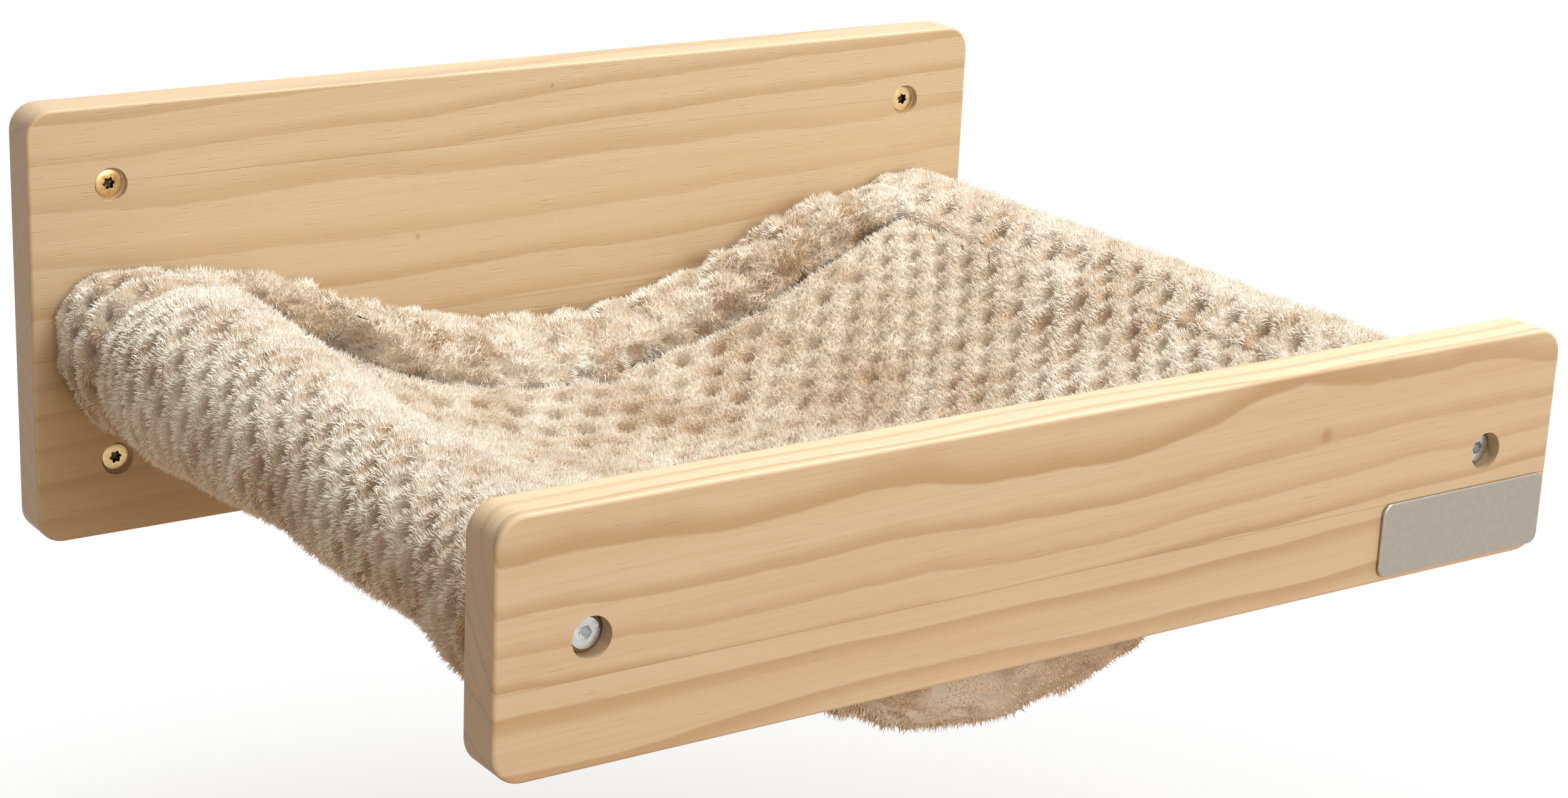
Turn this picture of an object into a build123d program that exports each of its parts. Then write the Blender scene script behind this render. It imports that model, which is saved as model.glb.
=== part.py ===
from build123d import *
from math import radians, tan
import os

os.makedirs("parts", exist_ok=True)

# Wall-mounted pet hammock: two pine boards, two rods and a plush sling, with every fastener.
# The origin is the middle of the wall board's back face, which lies on the wall.
# +X runs to the right along the boards, +Y points into the wall and +Z points up.
# Sketches on the XZ plane face the room, so a plane's offset is the distance from the wall.

# Boards
board_width = 400.0
board_thickness = 17.0
wall_board_height = 156.0
front_board_height = 77.0
board_gap = 310.0
board_corner_radius = 9.5
board_edge_radius = 1.2

# Rods, at half the height of both boards
rod_diameter = 25.0
rod_inset = 30.0
rod_chamfer = 1.0

# Rod bolts, one through each board into each rod
bolt_diameter = 6.0
bolt_length = 30.0
bolt_head_diameter = 11.6
bolt_head_height = 3.2
bolt_head_chamfer = 1.2
bolt_head_recess = 3.8
bolt_socket_width = 4.0
bolt_socket_depth = 2.4
bolt_socket_sides = 6
bolt_tip_chamfer = 0.8
bolt_hole_clearance = 0.3
bolt_counterbore_clearance = 0.5

# Threaded inserts in the rod ends
insert_wall = 2.0
insert_length = 18.0
insert_flange_width = 1.5
insert_flange_height = 1.5
insert_clearance = 0.1
insert_bore_extra_depth = 7.0

# Wall screws
screw_inset_side = 30.0
screw_inset_edge = 28.0
screw_diameter = 5.0
screw_neck_diameter = 3.6
screw_length = 60.0
screw_tip_length = 7.0
screw_tip_diameter = 0.6
screw_head_diameter = 10.0
screw_head_angle = 90.0
screw_head_rim = 0.5
screw_head_recess = 2.0
screw_hole_clearance = 0.3
screw_seat_clearance = 0.2
screw_counterbore_clearance = 1.0
screw_socket_radius = 1.75
screw_socket_lobe_radius = 0.65
screw_socket_lobe_count = 6
screw_socket_depth = 1.6

# Name plate, bare, at the lower right corner of the front board
plate_width = 73.0
plate_height = 25.0
plate_thickness = 1.0
plate_corner_radius = 3.5
plate_edge_radius = 0.6
plate_margin_side = 2.0
plate_margin_bottom = 2.2
pad_thickness = 0.4
pad_inset = 1.0

# Sling: plush sleeves round the rods, a bed of two panels with a core, and two thick hems
panel_thickness = 9.5
core_thickness = 5.0
layer_clearance = 0.3
sleeve_clearance = 0.3
sleeve_slack = 5.5
sleeve_end_clearance = 3.0
seam_wall = 6.5
seam_step = 3.3
bed_sag = 65.0
bed_crest_share = 0.63
bed_station_shares = (0.0, 0.2, 0.5, 0.8, 1.0)
bed_sag_shares = (0.66, 0.86, 1.0, 0.94, 0.82)
bed_rise_shares = (0.44, 0.38, 0.37, 0.43, 0.48)
hem_width = 34.0
hem_thickness = 34.0
hem_end_rise = 2.0
hem_rise_share = 0.6
hem_station_shares = (0.0, 0.16, 0.5, 0.84, 1.0)
hem_thickness_shares = (0.62, 0.92, 1.0, 0.95, 0.74)
rear_hem_sag = 35.0
front_hem_sag = 49.0

# Worked out from the sizes above
front_board_depth = board_thickness + board_gap
rod_x = board_width / 2 - rod_inset
bolt_hole_radius = bolt_diameter / 2 + bolt_hole_clearance
bolt_counterbore_radius = bolt_head_diameter / 2 + bolt_counterbore_clearance
bolt_counterbore_depth = bolt_head_recess + bolt_head_height
insert_bore_radius = bolt_diameter / 2 + insert_clearance
insert_radius = insert_bore_radius + insert_wall
insert_flange_radius = insert_radius + insert_flange_width
screw_x = board_width / 2 - screw_inset_side
screw_z = wall_board_height / 2 - screw_inset_edge
screw_hole_radius = screw_diameter / 2 + screw_hole_clearance
screw_counterbore_radius = screw_head_diameter / 2 + screw_counterbore_clearance
screw_counterbore_depth = screw_head_recess + screw_head_rim
screw_seat_radius = screw_head_diameter / 2 + screw_seat_clearance
screw_cone_height = (screw_head_diameter - screw_neck_diameter) / 2 / tan(radians(screw_head_angle / 2))
sleeve_bore_radius = rod_diameter / 2 + sleeve_clearance + sleeve_slack / 2
sleeve_radius = sleeve_bore_radius + panel_thickness
sleeve_drop = sleeve_slack / 2
seam_offset = sleeve_bore_radius + seam_wall
seam_height = sleeve_radius - sleeve_drop - seam_step
bed_thickness = 2 * panel_thickness + core_thickness + 2 * layer_clearance
bed_half_span = rod_x - seam_offset - layer_clearance
sling_rear_depth = board_thickness + sleeve_end_clearance
sling_front_depth = front_board_depth - sleeve_end_clearance
bed_rear_depth = sling_rear_depth + hem_width + layer_clearance
bed_front_depth = sling_front_depth - hem_width - layer_clearance
sides = {"left": -1, "right": 1}
levels = {"upper": 1, "lower": -1}


def finish(piece, name):
    """Label one finished piece and write it to its own file."""
    piece.part.label = name
    export_step(piece.part, f"parts/{name}.step")


def rounded_board(height, depth):
    """A board with rounded corners and eased edges, its back face at a distance from the wall."""
    with BuildPart() as board:
        with BuildSketch(Plane.XZ.offset(depth)):
            RectangleRounded(board_width, height, board_corner_radius)
        extrude(amount=board_thickness)
        fillet(board.faces().filter_by(Axis.Y).edges(), radius=board_edge_radius)
    return board.part


# Wall board: screw holes from the front, bolt holes from the back
wall_blank = rounded_board(wall_board_height, depth=0)
with BuildPart() as wall_board:
    add(wall_blank)
    with Locations(Plane.XZ.offset(board_thickness)):
        with GridLocations(2 * screw_x, 2 * screw_z, 2, 2):
            CounterBoreHole(screw_hole_radius, screw_counterbore_radius, screw_counterbore_depth)
    with Locations(Plane.XZ.offset(board_thickness - screw_counterbore_depth)):
        with GridLocations(2 * screw_x, 2 * screw_z, 2, 2):
            CounterSinkHole(screw_hole_radius, screw_seat_radius, counter_sink_angle=screw_head_angle)
    with Locations(-Plane.XZ):
        with GridLocations(2 * rod_x, 0, 2, 1):
            CounterBoreHole(bolt_hole_radius, bolt_counterbore_radius, bolt_counterbore_depth)
finish(wall_board, "wall_board")

# Front board: bolt holes from the front
front_plane = Plane.XZ.offset(front_board_depth + board_thickness)
front_blank = rounded_board(front_board_height, depth=front_board_depth)
with BuildPart() as front_board:
    add(front_blank)
    with Locations(front_plane):
        with GridLocations(2 * rod_x, 0, 2, 1):
            CounterBoreHole(bolt_hole_radius, bolt_counterbore_radius, bolt_counterbore_depth)
finish(front_board, "front_board")


def shifted(plane, x):
    """The same plane with its origin moved along the boards."""
    return Plane(plane.origin + Vector(x, 0, 0), plane.x_dir, plane.z_dir)


# Rods, inserts and bolts
def rod(x):
    """A round rod between the boards with an insert bore in each end, its axis at the given x."""
    with BuildPart() as blank:
        with BuildSketch(shifted(Plane.XZ.offset(board_thickness), x)):
            Circle(rod_diameter / 2)
        extrude(amount=board_gap)
        chamfer(blank.edges().filter_by(GeomType.CIRCLE), length=rod_chamfer)
        for mouth in rod_mouths.values():
            with Locations(shifted(mouth, x)):
                CounterBoreHole(
                    insert_radius + insert_clearance,
                    insert_flange_radius + insert_clearance,
                    insert_flange_height,
                    insert_length + insert_bore_extra_depth,
                )
    return blank


def threaded_insert(mouth):
    """A flanged sleeve that lies flush in a rod end; the mouth is the plane of that end."""
    with BuildPart() as sleeve:
        with BuildSketch(mouth):
            Circle(insert_flange_radius)
        extrude(amount=-insert_flange_height)
        with BuildSketch(mouth):
            Circle(insert_radius)
        extrude(amount=-insert_length)
        with Locations(mouth):
            Hole(insert_bore_radius, depth=insert_length)
    return sleeve


def rod_bolt(seat):
    """A bolt with a chamfered round head and a hexagon socket; the seat is the plane under its head."""
    out_from_seat = Axis(seat.origin, seat.z_dir)
    with BuildPart() as bolt:
        with BuildSketch(seat):
            Circle(bolt_head_diameter / 2)
        extrude(amount=bolt_head_height)
        chamfer(bolt.faces().sort_by(out_from_seat)[-1].edges(), length=bolt_head_chamfer)
        with BuildSketch(seat):
            Circle(bolt_diameter / 2)
        extrude(amount=-bolt_length)
        chamfer(bolt.faces().sort_by(out_from_seat)[0].edges(), length=bolt_tip_chamfer)
        with BuildSketch(seat.offset(bolt_head_height)):
            RegularPolygon(bolt_socket_width / 2, side_count=bolt_socket_sides, major_radius=False)
        extrude(amount=-bolt_socket_depth, mode=Mode.SUBTRACT)
    return bolt


rod_mouths = {
    "rear": -Plane.XZ.offset(board_thickness),
    "front": Plane.XZ.offset(front_board_depth),
}
bolt_seats = {
    "rear": (-Plane.XZ).offset(-bolt_counterbore_depth),
    "front": front_plane.offset(-bolt_counterbore_depth),
}
for side, sign in sides.items():
    finish(rod(sign * rod_x), f"{side}_rod")
    for end in rod_mouths:
        finish(threaded_insert(shifted(rod_mouths[end], sign * rod_x)), f"{side}_rod_{end}_insert")
        finish(rod_bolt(shifted(bolt_seats[end], sign * rod_x)), f"{side}_rod_{end}_bolt")


# Wall screws: a sunk head with a six-lobed socket, a smooth neck through the board, a thread and a point
def wall_screw(x, z):
    """A countersunk wall screw whose thread starts at the wall, its axis at the given x and z."""
    face_depth = board_thickness - screw_head_recess
    cone_depth = face_depth - screw_head_rim
    neck_depth = cone_depth - screw_cone_height
    point_depth = face_depth - screw_length
    with BuildPart() as screw:
        with BuildSketch(Plane.YZ.offset(x)):
            with BuildLine():
                Polyline(
                    (-face_depth, z),
                    (-face_depth, z + screw_head_diameter / 2),
                    (-cone_depth, z + screw_head_diameter / 2),
                    (-neck_depth, z + screw_neck_diameter / 2),
                    (0, z + screw_neck_diameter / 2),
                    (0, z + screw_diameter / 2),
                    (-point_depth - screw_tip_length, z + screw_diameter / 2),
                    (-point_depth, z + screw_tip_diameter / 2),
                    (-point_depth, z),
                    close=True,
                )
            make_face()
        revolve(axis=Axis((x, 0, z), (0, 1, 0)))
        with BuildSketch(Plane.XZ.offset(face_depth)):
            with Locations((x, z)):
                Circle(screw_socket_radius)
                with PolarLocations(screw_socket_radius, screw_socket_lobe_count):
                    Circle(screw_socket_lobe_radius)
        extrude(amount=-screw_socket_depth, mode=Mode.SUBTRACT)
    return screw


for level, rise in levels.items():
    for side, sign in sides.items():
        finish(wall_screw(sign * screw_x, rise * screw_z), f"wall_screw_{level}_{side}")

# Name plate and the pad that holds it to the front board
plate_x = board_width / 2 - plate_margin_side - plate_width / 2
plate_z = -front_board_height / 2 + plate_margin_bottom + plate_height / 2
pad_width = plate_width - 2 * pad_inset
pad_height = plate_height - 2 * pad_inset
with BuildPart() as plate_pad:
    with BuildSketch(front_plane):
        with Locations((plate_x, plate_z)):
            RectangleRounded(pad_width, pad_height, plate_corner_radius - pad_inset)
    extrude(amount=pad_thickness)
finish(plate_pad, "name_plate_pad")

with BuildPart() as name_plate:
    with BuildSketch(front_plane.offset(pad_thickness)):
        with Locations((plate_x, plate_z)):
            RectangleRounded(plate_width, plate_height, plate_corner_radius)
    extrude(amount=plate_thickness)
    fillet(name_plate.faces().sort_by(Axis.Y)[0].edges(), radius=plate_edge_radius)
finish(name_plate, "name_plate")


# Sleeves: plush sewn shut round each rod, resting on its top and hanging slack below it
def sleeve(sign):
    """One sleeve, with its seam towards the bed; the sign is -1 on the left and 1 on the right."""
    top = (sign * rod_x, sleeve_radius - sleeve_drop)
    side = (sign * (rod_x + sleeve_radius), -sleeve_drop)
    bottom = (sign * rod_x, -sleeve_radius - sleeve_drop)
    seam_top = (sign * (rod_x - seam_offset), seam_height)
    seam_bottom = (sign * (rod_x - seam_offset), seam_height - bed_thickness)
    with BuildPart() as tube:
        with BuildSketch(Plane.XZ.offset(sling_rear_depth)):
            with BuildLine():
                RadiusArc(side, top, -sign * sleeve_radius)
                RadiusArc(bottom, side, -sign * sleeve_radius)
                TangentArc(top, seam_top, tangent=(-sign, 0))
                TangentArc(bottom, seam_bottom, tangent=(-sign, 0))
                Line(seam_top, seam_bottom)
            make_face()
            with Locations((sign * rod_x, -sleeve_drop)):
                Circle(sleeve_bore_radius, mode=Mode.SUBTRACT)
        extrude(amount=sling_front_depth - sling_rear_depth)
    return tube


for side, sign in sides.items():
    finish(sleeve(sign), f"sling_{side}_sleeve")


# Bed and hems: sagging bands between the seams
def sagging_line(end_height, sag, rise_share):
    """Edges of one sagging line from seam to seam: two crests and the dip between them."""
    crest = bed_crest_share * bed_half_span
    crest_height = end_height - sag * (1 - rise_share)
    dip = ThreePointArc((-crest, crest_height), (0, end_height - sag), (crest, crest_height))
    TangentArc((crest, crest_height), (bed_half_span, end_height), tangent=dip % 1)
    TangentArc((-crest, crest_height), (-bed_half_span, end_height), tangent=(dip % 0) * -1)


def band_section(depth, top_height, thickness, sag, rise_share):
    """Closed outline of a sagging band at one distance from the wall."""
    bottom_height = top_height - thickness
    with BuildSketch(Plane.XZ.offset(depth)) as section:
        with BuildLine():
            sagging_line(top_height, sag, rise_share)
            sagging_line(bottom_height, sag, rise_share)
            Line((-bed_half_span, top_height), (-bed_half_span, bottom_height))
            Line((bed_half_span, top_height), (bed_half_span, bottom_height))
        make_face()
    return section.sketch


def bed_layer(top_height, thickness):
    """One layer of the bed, lofted from the rear crease to the front one."""
    bed_depth = bed_front_depth - bed_rear_depth
    sections = []
    for station, sag_share, rise_share in zip(bed_station_shares, bed_sag_shares, bed_rise_shares):
        depth = bed_rear_depth + station * bed_depth
        sections.append(band_section(depth, top_height, thickness, sag_share * bed_sag, rise_share))
    with BuildPart() as layer:
        loft(sections=sections)
    return layer


def hem(start_depth, sag):
    """One thick hem, with its edges rounded down to the crease and to the board."""
    middle_height = seam_height + hem_end_rise - hem_thickness / 2
    sections = []
    for station, thickness_share in zip(hem_station_shares, hem_thickness_shares):
        depth = start_depth + station * hem_width
        thickness = thickness_share * hem_thickness
        top_height = middle_height + thickness / 2
        sections.append(band_section(depth, top_height, thickness, sag, hem_rise_share))
    with BuildPart() as band:
        loft(sections=sections)
    return band


core_height = seam_height - panel_thickness - layer_clearance
lower_panel_height = core_height - core_thickness - layer_clearance
finish(bed_layer(seam_height, panel_thickness), "sling_upper_panel")
finish(bed_layer(core_height, core_thickness), "sling_core")
finish(bed_layer(lower_panel_height, panel_thickness), "sling_lower_panel")
finish(hem(sling_rear_depth, rear_hem_sag), "sling_rear_hem")
finish(hem(sling_front_depth - hem_width, front_hem_sag), "sling_front_hem")
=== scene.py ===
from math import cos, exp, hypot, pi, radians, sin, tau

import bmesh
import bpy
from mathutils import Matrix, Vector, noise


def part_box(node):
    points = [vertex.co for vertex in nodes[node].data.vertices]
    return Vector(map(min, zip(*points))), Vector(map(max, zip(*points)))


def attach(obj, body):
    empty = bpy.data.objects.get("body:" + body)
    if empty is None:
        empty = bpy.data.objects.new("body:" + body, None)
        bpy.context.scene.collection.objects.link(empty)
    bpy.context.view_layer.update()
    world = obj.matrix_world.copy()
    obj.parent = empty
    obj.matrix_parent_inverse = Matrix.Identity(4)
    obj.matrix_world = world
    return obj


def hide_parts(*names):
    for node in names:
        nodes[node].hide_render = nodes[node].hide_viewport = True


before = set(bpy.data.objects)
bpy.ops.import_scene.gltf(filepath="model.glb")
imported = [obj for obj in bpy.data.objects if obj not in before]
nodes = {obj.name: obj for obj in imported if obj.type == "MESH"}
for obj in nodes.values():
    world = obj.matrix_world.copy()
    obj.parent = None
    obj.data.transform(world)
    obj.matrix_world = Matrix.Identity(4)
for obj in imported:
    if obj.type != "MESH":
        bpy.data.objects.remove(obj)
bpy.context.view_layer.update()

# %% [markdown]
# A wall-mounted hammock for a cat: two pine boards, two hidden rods, and a plush sling between them.
# The boards, bolts and plate come from the frame as they are and only get their finish here.
# The sling is soft, so each of its pieces is remodelled: puffed up as cloth, sculpted, dimpled and
# covered with pile.

scene = bpy.context.scene
mm = 0.001
# without a seed, noise_vector starts from the clock, and the dimples would wander another way each run
noise.seed_set(1)

# %% [markdown]
# The picture was taken from the left and a little above, with a long lens. Where the camera stood was
# worked out from the corners of both boards. A camera is placed here by a point, a heading, a dip and
# a small roll, because those are what a photographer would set.

# %% Camera
scene.view_settings.view_transform = "Standard"
camera_data = bpy.data.cameras.new("camera")
camera_data.sensor_width = 36.0
camera_data.sensor_fit = "HORIZONTAL"
camera_data.lens = 71.559
camera_data.clip_start = 0.05
camera = bpy.data.objects.new("camera", camera_data)
scene.collection.objects.link(camera)
camera_place = Vector((-573.61, -1008.53, 319.48)) * mm
camera_heading = radians(-34.855)
camera_dip = radians(17.847)
camera_roll = radians(2.561)
camera.matrix_world = (
    Matrix.Translation(camera_place)
    @ Matrix.Rotation(camera_heading, 4, "Z")
    @ Matrix.Rotation(pi / 2 - camera_dip, 4, "X")
    @ Matrix.Rotation(camera_roll, 4, "Z")
)
scene.camera = camera
print("camera looks along", [round(c, 3) for c in camera.matrix_world.to_3x3() @ Vector((0, 0, -1))])

# %% [markdown]
# Materials are node trees, and a few small helpers keep them short. The main one adds a node with its
# settings and inputs, where a socket given as an input becomes a link. The others stand for the nodes
# that come up again and again: arithmetic, noise, soft ramps and mixes.

# %% Node helpers
def add_node(tree, kind, inputs=None, **settings):
    """Adds a node; inputs maps socket names or numbers to values or to other sockets."""
    made = tree.nodes.new(kind)
    for setting, value in settings.items():
        setattr(made, setting, value)
    for key, value in (inputs or {}).items():
        if isinstance(value, bpy.types.NodeSocket):
            tree.links.new(value, made.inputs[key])
        else:
            made.inputs[key].default_value = value
    return made


def calc(tree, operation, *values):
    """One step of arithmetic on numbers or sockets."""
    return add_node(tree, "ShaderNodeMath", dict(enumerate(values)), operation=operation).outputs[0]


def times(tree, first, second):
    """Multiplies two numbers or sockets."""
    return calc(tree, "MULTIPLY", first, second)


def axes_of(tree, vector):
    """The x, y and z of a vector socket."""
    return add_node(tree, "ShaderNodeSeparateXYZ", {0: vector}).outputs


def vector_calc(tree, operation, *values, out=0):
    """One step of arithmetic on vectors."""
    made = add_node(tree, "ShaderNodeVectorMath", dict(enumerate(values)), operation=operation)
    return made.outputs[out]


def noise_at(tree, place, scale, detail=2.0, roughness=0.5):
    """Smooth noise from 0 to 1, with its own stretch along each axis in cycles per metre."""
    stretched = vector_calc(tree, "MULTIPLY", place, scale)
    settings = {"Vector": stretched, "Scale": 1.0, "Detail": detail, "Roughness": roughness}
    return add_node(tree, "ShaderNodeTexNoise", settings).outputs[0]


def ramp(tree, value, low, high, out_low=0.0, out_high=1.0):
    """Maps low..high to out_low..out_high with soft ends."""
    numbers = {"Value": value, "From Min": low, "From Max": high, "To Min": out_low, "To Max": out_high}
    return add_node(tree, "ShaderNodeMapRange", numbers, interpolation_type="SMOOTHSTEP").outputs[0]


def mixed(tree, factor, first, second):
    """Mixes two colours, or two sockets that carry them."""
    return add_node(tree, "ShaderNodeMix", {0: factor, 6: first, 7: second}, data_type="RGBA").outputs[2]


def new_group(name, inputs, outputs):
    """An empty shader group with named sockets: (name, kind, default) in, (name, kind) out."""
    group = bpy.data.node_groups.new(name, "ShaderNodeTree")
    for socket_name, kind, default in inputs:
        socket = group.interface.new_socket(socket_name, in_out="INPUT", socket_type="NodeSocket" + kind)
        socket.default_value = default
    for socket_name, kind in outputs:
        group.interface.new_socket(socket_name, in_out="OUTPUT", socket_type="NodeSocket" + kind)
    return group, group.nodes.new("NodeGroupInput").outputs, group.nodes.new("NodeGroupOutput").inputs


def new_material(name, **constants):
    """A material with one Principled shader; constants are written on its sockets."""
    material = bpy.data.materials.new(name)
    material.use_nodes = True
    shader = material.node_tree.nodes["Principled BSDF"]
    for socket_name, value in constants.items():
        shader.inputs[socket_name.replace("_", " ")].default_value = value
    return material, material.node_tree, shader


def object_place(tree):
    """The place on the piece, in metres, in the object's own frame."""
    return add_node(tree, "ShaderNodeTexCoord").outputs["Object"]


def bump(tree, shader, height, distance, strength=1.0):
    """Feeds a height, in shares of distance, to the shader's normal."""
    inputs = {"Height": height, "Distance": distance, "Strength": strength}
    tree.links.new(add_node(tree, "ShaderNodeBump", inputs).outputs[0], shader.inputs["Normal"])


# %% [markdown]
# Pine is cut from a trunk, so its bands are slices through the year rings. The group below draws the
# rings round a pith line that lies outside the board, which gives long bands on the faces and arcs on
# the end grain at one stroke. Noise along the grain makes the bands wander. Each stave of a glued
# board gets the group again with a pith of its own.

# %% Pine grain
early_wood, late_wood = (0.690, 0.535, 0.350, 1), (0.465, 0.290, 0.135, 1)
streak_brown, cloud_cream = (0.560, 0.365, 0.190, 1), (0.700, 0.520, 0.330, 1)
fibre_brown, resin_brown = (0.470, 0.300, 0.145, 1), (0.330, 0.190, 0.085, 1)
darker_stave = (0.520, 0.375, 0.215, 1)


def make_pine_grain():
    """Year rings, fibres and resin flecks of one stave."""
    group, given, result = new_group(
        "pine_grain",
        [
            ("Place", "Vector", (0, 0, 0)),
            ("Pith", "Vector", (0, 0, 0)),
            ("Ring Width", "Float", 0.01),
            ("Slope", "Float", 0.02),
            ("Shift", "Float", 0.0),
            ("Tint", "Float", 0.0),
        ],
        [("Color", "Color"), ("Height", "Float"), ("Roughness", "Float")],
    )
    climb = times(group, axes_of(group, given["Place"])[0], given["Slope"])
    moved = add_node(group, "ShaderNodeCombineXYZ", {0: given["Shift"], 2: climb}).outputs[0]
    straight = vector_calc(group, "SUBTRACT", given["Place"], moved)
    from_pith = vector_calc(group, "SUBTRACT", straight, given["Pith"])
    from_pith = vector_calc(group, "MULTIPLY", from_pith, (0, 1, 1))
    radius = vector_calc(group, "LENGTH", from_pith, out=1)
    wander = noise_at(group, straight, (7.0, 16.0, 16.0), detail=1.5)
    ripple = noise_at(group, straight, (45.0, 60.0, 60.0), detail=2.0)
    for sway, reach in ((wander, 13.0 * mm), (ripple, 1.2 * mm)):
        radius = calc(group, "ADD", radius, times(group, calc(group, "SUBTRACT", sway, 0.5), reach))
    rings = calc(group, "DIVIDE", radius, given["Ring Width"])
    share = calc(group, "FRACT", rings)
    year = {"W": calc(group, "FLOOR", rings)}
    year = add_node(group, "ShaderNodeTexWhiteNoise", year, noise_dimensions="1D").outputs[0]
    late = times(group, ramp(group, share, 0.52, 0.90), ramp(group, share, 0.93, 0.995, 1.0, 0.0))
    late = times(group, late, ramp(group, year, 0.0, 1.0, 0.55, 1.0))
    streak = noise_at(group, straight, (3.5, 130.0, 130.0), detail=3.0)
    fibre = noise_at(group, straight, (14.0, 1100.0, 1100.0), detail=2.0)
    fleck = ramp(group, noise_at(group, straight, (110.0, 1500.0, 1500.0), detail=0.0), 0.73, 0.80)
    cloud = noise_at(group, given["Place"], (6.0, 22.0, 22.0), detail=1.0)
    colour = mixed(group, times(group, late, 0.88), early_wood, late_wood)
    colour = mixed(group, ramp(group, streak, 0.35, 0.75, 0.0, 0.30), colour, streak_brown)
    colour = mixed(group, ramp(group, cloud, 0.35, 0.7, 0.0, 0.30), colour, cloud_cream)
    colour = mixed(group, ramp(group, fibre, 0.42, 0.72, 0.0, 0.16), colour, fibre_brown)
    colour = mixed(group, times(group, fleck, 0.15), colour, resin_brown)
    colour = mixed(group, given["Tint"], colour, darker_stave)
    group.links.new(colour, result["Color"])
    height = calc(group, "ADD", times(group, late, 0.5), times(group, fibre, -0.6))
    group.links.new(calc(group, "SUBTRACT", height, times(group, fleck, 0.8)), result["Height"])
    group.links.new(ramp(group, late, 0.0, 1.0, 0.52, 0.40), result["Roughness"])
    return group


pine_grain = make_pine_grain()
print("pine grain takes", len(pine_grain.nodes), "nodes")

# %% [markdown]
# A board is glued from staves. Each stave is described by its lower edge, pith, ring width, slope,
# shift along the trunk and tint. Going up the board, the next stave takes over where the height passes
# its edge, and a thin dark line marks the glue. End grain soaks up more finish, so it is darker, and
# the year rings show up stronger on it.

# %% Glued boards
glue_half_width = 0.16
glue_brown, knot_brown = (0.30, 0.18, 0.09, 1), (0.40, 0.20, 0.11, 1)
end_grain_brown, end_ring_brown = (0.44, 0.33, 0.22, 1), (0.23, 0.14, 0.07, 1)


def board_wood(name, staves, knots=()):
    """A pine finish for one board; staves go from the bottom up, all lengths in mm."""
    material, tree, shader = new_material(name, Specular_IOR_Level=0.5, Coat_Roughness=0.3)
    place = object_place(tree)
    up = axes_of(tree, place)[2]
    outputs = glue = None
    for edge, pith, ring_width, slope, shift, tint in staves:
        numbers = {
            "Place": place,
            "Pith": [c * mm for c in pith],
            "Ring Width": ring_width * mm,
            "Slope": slope,
            "Shift": shift * mm,
            "Tint": tint,
        }
        stave = add_node(tree, "ShaderNodeGroup", numbers, node_tree=pine_grain).outputs
        if outputs is None:
            outputs = list(stave)
            continue
        above = calc(tree, "GREATER_THAN", up, edge * mm)
        blends = [{0: above, 2: outputs[i], 3: stave[i]} for i in (1, 2)]
        outputs = [
            mixed(tree, above, outputs[0], stave[0]),
            *(add_node(tree, "ShaderNodeMix", blend).outputs[0] for blend in blends),
        ]
        line = calc(tree, "COMPARE", up, edge * mm, glue_half_width * mm)
        glue = line if glue is None else calc(tree, "MAXIMUM", glue, line)
    colour, height, rough = outputs
    if glue is not None:
        colour = mixed(tree, times(tree, glue, 0.35), colour, glue_brown)
    facing = axes_of(tree, add_node(tree, "ShaderNodeTexCoord").outputs["Normal"])[0]
    end_grain = ramp(tree, calc(tree, "ABSOLUTE", facing), 0.75, 0.97)
    colour = mixed(tree, times(tree, end_grain, 0.50), colour, end_grain_brown)
    end_rings = times(tree, end_grain, ramp(tree, height, 0.0, 0.35, 0.0, 0.65))
    colour = mixed(tree, end_rings, colour, end_ring_brown)
    for knot_place, knot_size in knots:
        spot = vector_calc(tree, "DISTANCE", place, [c * mm for c in knot_place], out=1)
        knot = ramp(tree, spot, 0.2 * knot_size * mm, knot_size * mm, 0.55, 0.0)
        colour = mixed(tree, knot, colour, knot_brown)
    tree.links.new(colour, shader.inputs["Base Color"])
    tree.links.new(rough, shader.inputs["Roughness"])
    bump(tree, shader, height, 0.12 * mm, 0.6)
    return material


def finish_node(material, *names):
    """Gives CAD nodes a finish without touching their meshes."""
    for name in names:
        piece = nodes[name]
        piece.data.materials.clear()
        piece.data.materials.append(material)
    print("finished", len(names), "nodes with", material.name)


wall_wood = board_wood(
    "pine_wall_board",
    [
        (-78.0, (0, 70, -150), 9.5, 0.030, 40, 0.52),
        (-10.7, (0, 95, 112), 11.0, 0.022, 150, 0.42),
        (51.0, (0, 30, 150), 12.0, 0.030, 420, 0.42),
    ],
    knots=[((-51, -17, 18), 1.6), ((5, -17, 70), 1.3)],
)
front_wood = board_wood(
    "pine_front_board",
    [
        (-38.5, (0, -290, -110), 12.0, 0.012, 90, 0.06),
        (-11.5, (0, -415, 55), 7.0, 0.018, 260, 0.0),
    ],
    knots=[((97, -344, 16.5), 3.6)],
)
finish_node(wall_wood, "wall_board")
finish_node(front_wood, "front_board")

# %% [markdown]
# The rods are turned from one stick each, so they wear one stave's grain. They show only where the
# sleeves stop short of the boards.

# %% Rods
rod_wood = board_wood("turned_rod_wood", [(-12.5, (-170, 0, 40), 6.0, 0.0, 700, 0.05)])
finish_node(rod_wood, "left_rod", "right_rod")

# %% [markdown]
# The metal pieces differ in plating: yellow zinc on the wall screws, bright zinc on the bolts, dull
# zinc on the inserts and satin aluminium on the plate. One group gives them all fine scratches and a
# mottled plating; each material mixes in its own colours. Little light gets into the wall screws'
# sockets, so their plating is dark round the sockets' floor.

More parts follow.
